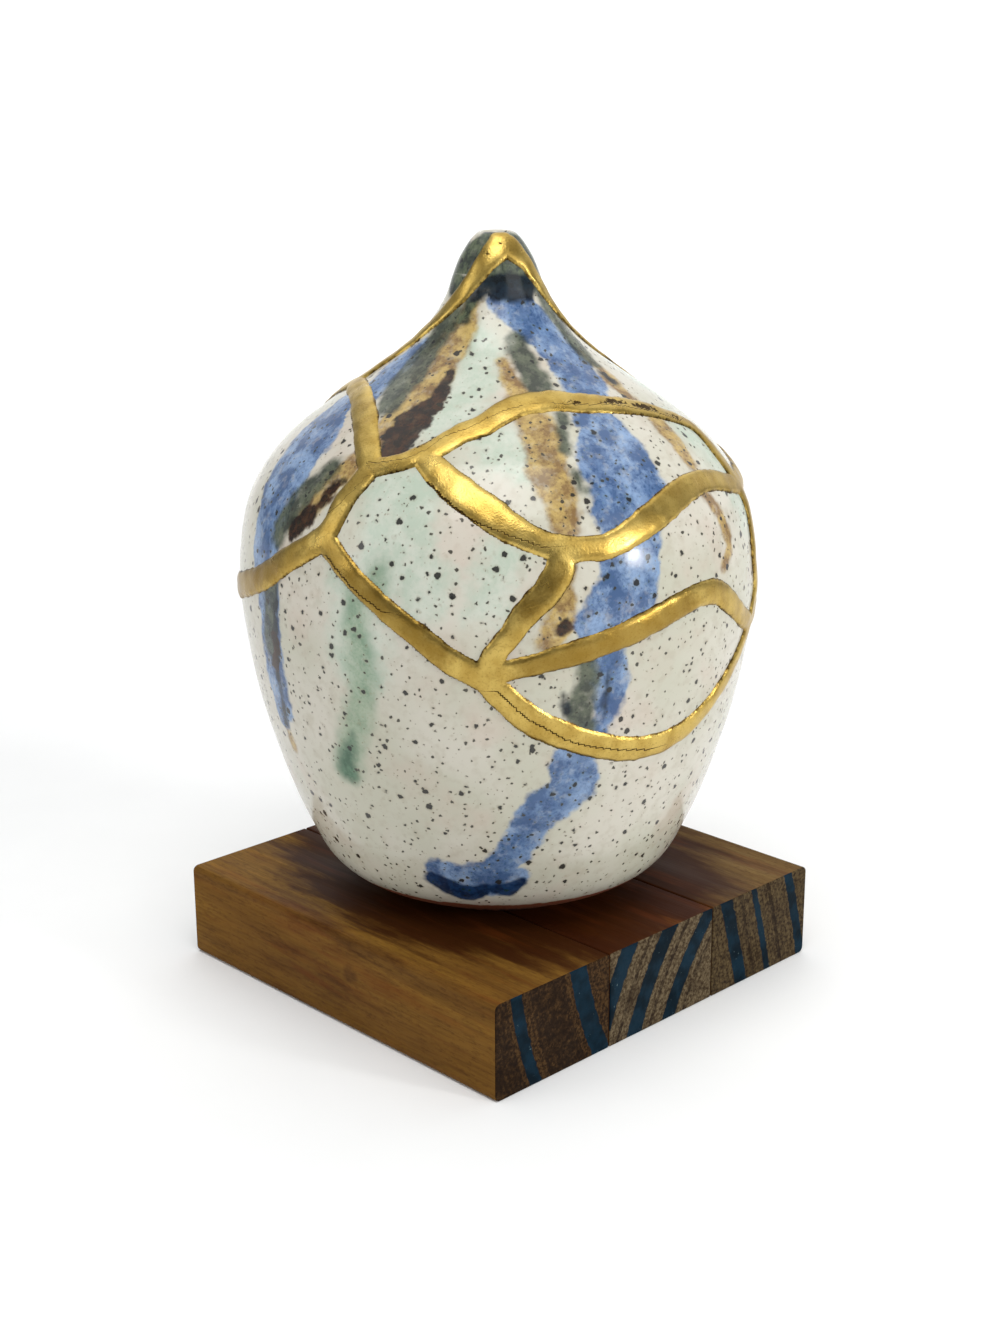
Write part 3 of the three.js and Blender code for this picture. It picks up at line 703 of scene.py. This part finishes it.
# %% Raising the gold
GOLD_MARGIN = 0.35  # faces this far past a band's edge are cut away
TOP = PLINTH_TOP + VASE_HEIGHT - 0.02

bm = bmesh.new()
bm.from_mesh(gold_skin)
normals = [v.normal.copy() for v in bm.verts]
for v in bm.verts:
    v.co += normals[v.index] * float(rise[v.index]) * MM
    v.co.z = min(v.co.z, TOP * MM)
beyond = away - half
far = [f for f in bm.faces if min(beyond[v.index] for v in f.verts) > GOLD_MARGIN]
bmesh.ops.delete(bm, geom=far, context="FACES")
bm.to_mesh(gold_skin)
bm.free()
gold_skin.shade_smooth()
gold_piece = shown("gold_seams_dusted", gold_skin)
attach(gold_piece, "root")
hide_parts("gold_seams")
print("gold:", len(gold_skin.polygons), "faces")

# %% [markdown]
# Lacquer shrinks as it cures, so the bands have fine cracks and a few open pits. Some stretches on the lower
# half of the bands are painted darker: painted shade, for the dark surroundings that the gold reflects there.
# They are written down like the washes.

# %% Marks in the gold
# Azimuth, percent, and how open the crack is or half the mark's width in millimetres.
LACQUER_CRACKS = [
    [(-32, 70.9, 0.8), (-23.5, 72.1, 1), (-16.8, 74.3, 0.9), (-9.7, 75.5, 0.7), (-3.5, 76.7, 0.5), (3.7, 77.6, 0.3),
     (17.7, 78.2, 0.2), (31, 77.7, 0.6), (46.3, 77.2, 0.9), (56.9, 76.2, 1), (65.8, 75.1, 1), (74, 73.5, 1)],
    [(-15.9, 69.1, 0.3), (-9.7, 66.9, 0.6), (-5.3, 65.2, 0.9), (0.6, 63.8, 0.9), (5.4, 62.7, 0.7), (10.5, 61.5, 0.3)],
    [(0.4, 42.1, 0.3), (5.1, 38.7, 0.6), (10.4, 36.1, 0.7), (17.2, 33.5, 0.7), (25.7, 31.8, 0.6), (36.6, 30.4, 0.4)],
    [(-40.8, 63.2, 0.3), (-37.5, 66.1, 0.6), (-34.5, 69.5, 0.5)],
    [(-36.6, 59, 0.3), (-30.2, 55.5, 0.6), (-22.4, 52.4, 0.3)],
    [(-120, 50.5, 0.2), (-100, 47.6, 0.5), (-84, 48.2, 0.3)],
    [(-170, 43.5, 0.2), (-190, 38.6, 0.6), (-210, 38.7, 0.3)],
]
PITS = [
    [(6, 98.4, 0.5), (6.5, 98.4, 0.5)], [(-15, 96.9, 0.8), (-14.5, 96.9, 0.8)], [(44, 97.2, 0.6), (44.5, 97.2, 0.6)],
    [(27, 77.8, 0.5), (32, 77.6, 0.9)], [(42, 77.3, 0.6), (47, 77.2, 1.1), (53, 76.7, 0.7)],
    [(55, 76.4, 0.6), (60, 75.9, 1.1), (65, 75.2, 0.8)], [(68, 74.7, 0.6), (74, 73.4, 0.7)],
    [(-31, 71, 0.4), (-29.5, 71.2, 0.4)], [(-24, 72.2, 0.4), (-20, 73.4, 0.4)],
    [(-151, 50.8, 0.4), (-149, 50.4, 0.6)], [(-202, 38.4, 0.5), (-197, 38.4, 0.7)],
]
# Painted shade: stretches of gold that are darkened, kept under the mark "thin".
SHADED_GOLD = [
    [(-122, 51, 4), (-98, 47.5, 4), (-80, 48.5, 4), (-66, 51.5, 4), (-52, 56, 3)],
    [(-36, 59.5, 3), (-26, 54.6, 4), (-11, 47.2, 3)],
    [(6, 45.4, 3), (18, 47.2, 4), (30, 49.4, 4), (42, 51.6, 3)], [(11.5, 56.6, 2), (9, 55, 2.6), (6, 52.7, 2)],
    [(-186, 38.6, 4), (-210, 38.8, 4)],
]
print("marks:", len(LACQUER_CRACKS), "cracks,", len(PITS), "pits,", len(SHADED_GOLD), "thin stretches")

# %% [markdown]
# The distance to a crack is written with a sign, above the crack or below it, so that noise can push the line up
# and down.

# %% Writing the marks
NEAR = 5.0  # millimetres from a crack at which it no longer counts

points = places(gold_skin)
lines = np.vstack([crack_line(line) for line in LACQUER_CRACKS])
spots = on_vase(lines[:, 0], lines[:, 1])
number, away = nearest(points, spots)
side = np.sign(points[:, 2] - spots[number, 2])
note(gold_skin, "crack", np.clip(away * side, -NEAR, NEAR))
note(gold_skin, "open", np.where(away < NEAR, lines[number, 2], 0))
note(gold_skin, "pit", inside_strokes(points, PITS))
# The "thin" mark holds painted shade: gold darkened where it reflects dark surroundings.
note(gold_skin, "thin", inside_strokes(points, SHADED_GOLD))
number, away = nearest(points, crack_spots)
note(gold_skin, "edge", all_cracks[number, 2] - away)
print("marks written on", len(points), "points")

# %% [markdown]
# Gold dust on lacquer is a metal with a fine grain, bright where it faces the light and brown where it doesn't.
# It isn't polished, so it is satin. The masks say where the gold is painted darker as shade and where the
# lacquer is cracked.

# %% Gold masks
gilt, tree = new_material("gold_dusted_lacquer")
place = node("TexCoord").outputs["Object"]

# Clouds of noise: size in mm, detail and roughness. The dust's own grain is a few hundredths of a millimetre,
# far too fine to show, so it is drawn at half a millimetre.
GOLD_CLOUDS = {
    "dust": (0.5, 2, 0.5), "grain": (0.45, 2, 0.5), "fine": (1.1, 3, 0.6), "brush": (3.2, 2, 0.5),
    "tone": (5, 3, 0.5), "gap": (3, 2, 0.5), "sheen": (6, 2, 0.5),
}
masks = {}
for name, (size, detail, roughness) in GOLD_CLOUDS.items():
    sockets = {"Vector": place, "Scale": per_metre(size), "Detail": detail, "Roughness": roughness}
    masks[name] = node("TexNoise", sockets)

# The marks written on the mesh, and how many millimetres noise moves each one's edge.
fray = node("Math", {0: masks["fine"], 1: 0.5}, operation="SUBTRACT")
for mark, ragged in (("crack", 1.6), ("pit", 2.2), ("edge", 1.2), ("thin", 5), ("open", 0)):
    written = node("Attribute", attribute_name=mark).outputs["Fac"]
    masks[mark] = node("Math", {0: fray, 1: ragged, 2: written}, operation="MULTIPLY_ADD")

from_crack = node("Math", {0: masks["crack"]}, operation="ABSOLUTE")
line = node("MapRange", {0: from_crack, 1: 0.55, 2: 0.2}, **SMOOTH)
opening = node("Math", {0: masks["open"], 1: masks["gap"]}, operation="ADD")
broken = node("MapRange", {0: opening, 1: 0.6, 2: 0.85}, **SMOOTH)
split = node("Math", {0: line, 1: broken}, operation="MULTIPLY")
hole = node("MapRange", {0: masks["pit"], 1: -0.3, 2: 0.1}, **SMOOTH)
masks["worn"] = node("Math", {0: split, 1: hole}, operation="MAXIMUM")
print("gold masks:", ", ".join(masks))

# %% [markdown]
# The same masks colour the gold, roughen it and give it relief, so a crack is dark, dull and deep in one place.

# %% Gold finish
GOLD_LAYERS = [
    ("tone", 0.3, 0.7, 1.0, "#B29348"), ("dust", 0.5, 0.75, 0.35, "#7C5D26"),
    # painted shade: the "thin" mark darkens the gold where it reflects dark surroundings
    ("thin", -2.5, 2.5, 0.62, "#76591E"),
    ("worn", 0, 1, 0.92, "#2E1A0B"), ("edge", 0.35, -0.2, 0.92, "#2E1A0B"),
]
colour = layered(linear("#CFB262"), masks, GOLD_LAYERS)

# Relief: the grain and the brush marks stand up, and a crack or a pit goes down.
relief = 0.0
for mask, rise in (("grain", 0.13), ("brush", 0.14), ("worn", -0.5)):
    relief = node("Math", {0: masks[mask], 1: rise, 2: relief}, operation="MULTIPLY_ADD")
bumped = node("Bump", {"Height": relief, "Strength": 0.8, "Distance": 0.6 * MM})
satin = node("MapRange", {0: masks["sheen"], 1: 0.3, 2: 0.7, 3: 0.27, 4: 0.38}, **SMOOTH)
satin = node("Math", {0: masks["worn"], 1: 0.3, 2: satin}, operation="MULTIPLY_ADD")
surface = {"Base Color": colour, "Metallic": 1.0, "Roughness": satin, "Normal": bumped}
node("OutputMaterial", {"Surface": node("BsdfPrincipled", surface)})
gold_skin.materials.append(gilt)
print("gold:", len(tree.nodes), "nodes")

# %% [markdown]
# ## Boards
#
# Three lengths of stained softwood are glued edge to edge. A board is a box whose edges were sanded, so it
# starts from a cube and the bevel operator eases its edges: more on the plinth's own long edges than along the
# glue lines.

# %% Board shapes
BOARD_WIDTH, BOARD_LENGTH, GLUE_LINE = 38.0, 114.0, 0.3
OUTER_ROUND, JOINT_ROUND = 1.5, 0.45
END_STEPS = ((0.08, 0.2), (0.2, 0.12))  # how far each step of the eased end goes inwards and outwards


def board(name, left, right, outer_side):
    """One board between two places across the plinth. outer_side is the side that lies free, if any."""
    bm = bmesh.new()
    bmesh.ops.create_cube(bm, size=1)
    length = BOARD_LENGTH - 2 * sum(outwards for _, outwards in END_STEPS)
    size = ((right - left) * MM, length * MM, PLINTH_TOP * MM)
    bmesh.ops.scale(bm, vec=size, verts=bm.verts)
    bmesh.ops.translate(bm, vec=((left + right) / 2 * MM, 0, PLINTH_TOP / 2 * MM), verts=bm.verts)
    long = [e for e in bm.edges if abs(e.verts[0].co.y - e.verts[1].co.y) > 50 * MM]
    outer = [e for e in long if outer_side is not None and abs(e.verts[0].co.x - outer_side * MM) < MM]
    joint = [e for e in long if e not in outer]
    for chosen, radius in ((outer, OUTER_ROUND), (joint, JOINT_ROUND)):
        bmesh.ops.bevel(bm, geom=chosen, offset=radius * MM, affect="EDGES", segments=4, profile=0.5, material=-1)
    ends = [f for f in bm.faces if abs(f.normal.y) > 0.9]
    for inwards, outwards in END_STEPS:
        bmesh.ops.inset_individual(bm, faces=ends, thickness=inwards * MM, depth=outwards * MM)
    bmesh.ops.recalc_face_normals(bm, faces=bm.faces)
    return shown(name, finished(bm, name))


boards = []
for number in range(3):
    left = (number - 1.5) * BOARD_WIDTH + (GLUE_LINE / 2 if number > 0 else 0)
    right = (number - 0.5) * BOARD_WIDTH - (GLUE_LINE / 2 if number < 2 else 0)
    piece = board(f"board_{number + 1}_stained", left, right, (left, None, right)[number])
    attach(piece, "root")
    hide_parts(f"board_{number + 1}")
    boards.append(piece)
print("boards:", [piece.name for piece in boards])

# %% [markdown]
# ## Stained softwood
#
# Wood is a solid texture. Its growth rings are cylinders round the pith, so a ring pattern that depends only on
# the distance to the pith shows as arcs on the sawn end and as long figure on the faces, and the two agree at
# every edge. The maker painted a few rings on the front end in a dark blue. They are written as pairs of radii.

# %% Wood tables
# Pith (x, z), painted and dark rings as pairs of radii, in mm, and the tones of the long faces and the ends.
BOARDS = [
    ((56.8, 40.1), [(106.6, 110.2), (85.4, 90.9)], [(93, 104), (111.5, 120)],
     ("#9A712C", "#785421"), ("#50391F", "#1C1109")),
    ((75.3, -29.5), [(100.0, 105.0), (87.9, 92.9), (76.2, 80.8)], [(84.4, 85.6), (95.5, 96.5), (73, 74)],
     ("#955A1C", "#5F3210"), ("#71624A", "#382B1C")),
    ((-406.5, -108.9), [(448.6, 453.0), (460.2, 462.4), (473.2, 476.4)], [(455.5, 456.5), (466, 467.5)],
     ("#7E6236", "#5C4527"), ("#5E4E34", "#2A1F14")),
]
KNOT = (-57.0, -6.8, 14.8)

# Clouds of noise: how much they are drawn out along the grain (1 is not at all), size in mm, detail, roughness.
WOOD_CLOUDS = {
    "bend": (0.15, 16, 2, 0.5), "broad": (0.15, 22, 3, 0.5), "fibre": (0.06, 0.8, 4, 0.7),
    "fleck": (0.3, 0.7, 3, 0.6),
    "streak": (0.15, 7, 4, 0.6), "spread": (0.15, 5, 5, 0.65), "knot": (1, 2.5, 3, 0.5), "fuzz": (1, 0.8, 4, 0.7),
    "patch": (1, 7, 3, 0.5), "brush": (1, 2.2, 4, 0.6), "soot": (1, 3, 5, 0.75), "scuff": (1, 1.3, 4, 0.7),
    "ember": (0.12, 4.5, 4, 0.6), "tint": (1, 5, 2, 0.5), "pores": (0.03, 0.8, 3, 0.5), "sheen": (0.15, 12, 3, 0.5),
}
# Layers over the fair tone of the long faces and of the ends. The burn fades from 44 to 62 mm from the axis;
# it is partly painted shade, where the vase's belly overhangs the boards.
FACE_LAYERS = [
    ("ring", 0.3, 0.95, 0.3, "#4A2E17"), ("fibre", 0.4, 0.7, 0.45, "#3F280F"), ("fleck", 0.5, 0.7, 0.35, "#38220E"),
    ("streak", 0.46, 0.72, 0.35, "#523214"), ("burn_and_shade", 62, 44, 0.93, "#341505"), ("ember", 0.5, 0.75, 0.4, "#6A3412"),
    ("knot", 3.4, 0.5, 0.6, "#3A2012"),
]
END_LAYERS = [
    ("year", 0.5, 0.95, 0.4, "#24150A"), ("patch", 0.5, 0.75, 0.5, "#221409"), ("soot", 0.34, 0.6, 0.85, "#1C110A"),
    ("paint", 0, 1, 0.97, "#092635"), ("tint", 0.35, 0.65, 0.97, "#04141D"), ("scuff", 0.66, 0.72, 0.45, "#7F9596"),
]

print("layers on the faces and on the ends:", len(FACE_LAYERS), len(END_LAYERS))

# %% [markdown]
# The masks are made by one function, because each board has its own pith and its own painted rings. Rings are
# counted from the pith: wide bent ones that show as figure, and fine ones for the years. Round the foot the wood
# is burnt and oiled dark, and the dark runs out along the grain. The same dark ring round the foot is also
# painted shade, where the vase's belly overhangs the boards.

# %% Wood masks
FRAY_MEAN = 0.7  # the noise that frays a ring's edges moves it inwards by this much


def wood_masks(place, pith, painted, dark):
    """Every mask of one board, by name."""
    masks = {}
    for name, (drawn, size, detail, roughness) in WOOD_CLOUDS.items():
        grain = node("VectorMath", {0: place, 1: (1, drawn, 1)}, operation="MULTIPLY")
        sockets = {"Vector": grain, "Scale": per_metre(size), "Detail": detail, "Roughness": roughness}
        masks[name] = node("TexNoise", sockets)

    flat = node("VectorMath", {0: place, 1: (1, 0, 1)}, operation="MULTIPLY")
    radius = node("VectorMath", {0: flat, 1: (pith[0] * MM, 0, pith[1] * MM)}, operation="DISTANCE")
    radius = node("Math", {0: radius, 1: 1 / MM}, operation="MULTIPLY")
    for name, bending, bend, width in (("ring", "bend", 5.0, 6.2), ("year", "fuzz", 0.42, 1.7)):
        bent = node("Math", {0: masks[bending], 1: bend, 2: radius}, operation="MULTIPLY_ADD")
        turns = node("Math", {0: bent, 1: width}, operation="DIVIDE")
        masks[name] = node("Math", {0: turns}, operation="FRACT")

    across = node("VectorMath", {0: place, 1: (1, 0.8, 0)}, operation="MULTIPLY")
    from_axis = node("VectorMath", {0: across}, operation="LENGTH")
    from_knot = node("VectorMath", {0: place, 1: tuple(v * MM for v in KNOT)}, operation="DISTANCE")
    # The burn mask darkens by the distance from the vase's axis: the burn, together with painted shade under the
    # belly.
    for name, noisy, reach, blur in (("burn_and_shade", "spread", from_axis, 44.0), ("knot", "knot", from_knot, 4.0)):
        centred = node("Math", {0: masks[noisy], 1: 0.5}, operation="SUBTRACT")
        length = node("Math", {0: reach, 1: 1 / MM}, operation="MULTIPLY")
        masks[name] = node("Math", {0: centred, 1: blur, 2: length}, operation="MULTIPLY_ADD")

    front = node("Math", {0: node("SeparateXYZ", {0: place}).outputs["Y"], 1: 0.0}, operation="LESS_THAN")
    frayed = node("Math", {0: masks["brush"], 1: 1.4, 2: radius}, operation="MULTIPLY_ADD")
    masks["paint"] = 1.0
    for rings, side, coats in ((painted, front, ("paint", "tint", "scuff")), (dark, 1.0, ("soot",))):
        cover = 0.0
        for inner, outer in rings:
            middle, half = (inner + outer) / 2 + FRAY_MEAN, (outer - inner) / 2
            ring = node("Math", {0: frayed, 1: middle, 2: half}, operation="COMPARE")
            cover = node("Math", {0: cover, 1: ring}, operation="MAXIMUM")
        cover = node("Math", {0: cover, 1: side}, operation="MULTIPLY")
        for coat in coats:
            masks[coat] = node("Math", {0: cover, 1: masks[coat]}, operation="MULTIPLY")
    return masks


print("clouds in the wood:", len(WOOD_CLOUDS))

# %% [markdown]
# The long faces and the sawn ends are coloured from the same masks, each by its own layers. Which of the two
# shows is decided by the place along the board.

# %% Wood finish
END_FROM = BOARD_LENGTH / 2 - 0.25

for piece, (pith, painted, dark, (fair, deep), (end_fair, end_deep)) in zip(boards, BOARDS):
    wood, tree = new_material(piece.name.replace("stained", "softwood"))
    place = node("TexCoord").outputs["Object"]
    masks = wood_masks(place, pith, painted, dark)
    face_tone = layered(linear(fair), masks, [("broad", 0.35, 0.65, 1.0, deep), *FACE_LAYERS])
    end_tone = layered(linear(end_fair), masks, [("fuzz", 0.35, 0.65, 1.0, end_deep), *END_LAYERS])

    off_middle = node("Math", {0: node("SeparateXYZ", {0: place}).outputs["Y"]}, operation="ABSOLUTE")
    end = node("Math", {0: off_middle, 1: END_FROM * MM}, operation="GREATER_THAN")
    colour = node("Mix", {0: end, 6: face_tone, 7: end_tone}, **COLOURS)
    pores = node("Bump", {"Height": masks["pores"], "Strength": 0.5, "Distance": 0.15 * MM})
    sheen = node("MapRange", {0: masks["sheen"], 1: 0.3, 2: 0.7, 3: 0.5, 4: 0.68}, **SMOOTH)
    surface = {"Base Color": colour, "Roughness": sheen, "Specular IOR Level": 0.05, "Normal": pores}
    node("OutputMaterial", {"Surface": node("BsdfPrincipled", surface)})
    piece.data.materials.append(wood)
print("wood:", len(tree.nodes), "nodes")

# %% [markdown]
# ## Light and camera
#
# The object stands on a pale floor that curves up far behind it, so no edge of the set shows.

# %% Floor
bm = bmesh.new()
sweep = [(-1.6, 0), (2.2, 0), (2.5, 0.04), (2.75, 0.16), (2.9, 0.4), (2.95, 0.8), (2.95, 3.0)]
verts = [bm.verts.new((-3, y, z)) for y, z in sweep]
edges = [bm.edges.new(pair) for pair in zip(verts, verts[1:])]
pushed = bmesh.ops.extrude_edge_only(bm, edges=edges)["geom"]
moved = [v for v in pushed if isinstance(v, bmesh.types.BMVert)]
bmesh.ops.translate(bm, vec=(6, 0, 0), verts=moved)
bmesh.ops.rotate(bm, matrix=Matrix.Rotation(math.radians(-45), 3, "Z"), verts=bm.verts)
bmesh.ops.recalc_face_normals(bm, faces=bm.faces)
mesh = finished(bm, "floor")
mesh.shade_smooth()
floor = shown("floor", mesh)
paper, tree = new_material("white_paper")
fibres = node("TexNoise", {"Vector": node("TexCoord").outputs["Object"], "Scale": per_metre(40)})
tone = node("Mix", {0: fibres, 6: linear("#F4F4F3"), 7: linear("#F8F8F7")}, **COLOURS)
node("OutputMaterial", {"Surface": node("BsdfPrincipled", {"Base Color": tone, "Roughness": 0.9})})
mesh.materials.append(paper)
print("floor:", len(mesh.polygons), "faces")

# %% [markdown]
# The light is soft and comes from large panels all round. A small window at the right, a little above the vase,
# makes the highlight on its belly.

# %% Light
scene = bpy.context.scene
scene.view_settings.view_transform = "Standard"
world = bpy.data.worlds.new("studio")
world.use_nodes = True
world.node_tree.nodes["Background"].inputs["Color"].default_value = linear("#F3F6FA")
world.node_tree.nodes["Background"].inputs["Strength"].default_value = 0.33
scene.world = world


def panel(name, azimuth, elevation, distance, size, power, aim=(0, 0, 0.1)):
    """A square panel seen from the vase at an azimuth and elevation, that faces a point."""
    light = bpy.data.lights.new(name, "AREA")
    light.shape = "RECTANGLE"
    light.size, light.size_y = size
    light.energy = power
    a, e = math.radians(azimuth + FRONT), math.radians(elevation)
    lamp = bpy.data.objects.new(name, light)
    lamp.location = Vector((math.cos(a) * math.cos(e), math.sin(a) * math.cos(e), math.sin(e))) * distance
    lamp.rotation_euler = (lamp.location - Vector(aim)).to_track_quat("Z", "Y").to_euler()
    scene.collection.objects.link(lamp)


panel("window", 61, 18, 0.9, (0.1, 0.12), 1.9)
panel("window_wall", 50, 30, 1.3, (0.8, 0.7), 2.3)
panel("ceiling", 0, 70, 1.2, (0.7, 0.7), 6.7)
panel("left_fill", -70, 25, 1.3, (0.7, 0.7), 2.6)
panel("over_floor", 180, 52, 2.1, (2.6, 2.6), 17, aim=(0.92, 0.92, 0))
panel("right_rim", 125, 28, 1.2, (0.5, 0.7), 0.8)
panel("backdrop_wash", 180, 53, 2.0, (2.4, 1.2), 28, aim=(2.1, 2.1, 0.4))

# %% [markdown]
# The camera stands where the photographer's did: a little above the vase, looking at the plinth's corner.

# %% Camera
CAMERA_PLACE = (-336.86, -345.01, 227.81)
CAMERA_AZIMUTH, CAMERA_ELEVATION, CAMERA_ROLL = -44.37, 17.13, -0.24
FOCAL_PIXELS, LONG_SIDE = 1982.3, 1333

e, a = math.radians(CAMERA_ELEVATION), math.radians(CAMERA_AZIMUTH)
back = Vector((math.sin(a) * math.cos(e), -math.cos(a) * math.cos(e), math.sin(e)))
right = Vector((math.cos(a), math.sin(a), 0))
up = back.cross(right)
turn = Matrix((right, up, back)).transposed().to_4x4()
roll = Matrix.Rotation(math.radians(CAMERA_ROLL), 4, "Z")
lens = bpy.data.cameras.new("camera")
lens.sensor_width = 36
lens.lens = FOCAL_PIXELS / LONG_SIDE * lens.sensor_width
lens.clip_start = 0.01
camera = bpy.data.objects.new("camera", lens)
camera.matrix_world = Matrix.Translation(Vector(CAMERA_PLACE) * MM) @ turn @ roll
scene.collection.objects.link(camera)
scene.camera = camera
print(f"lens: {lens.lens:.1f} mm")
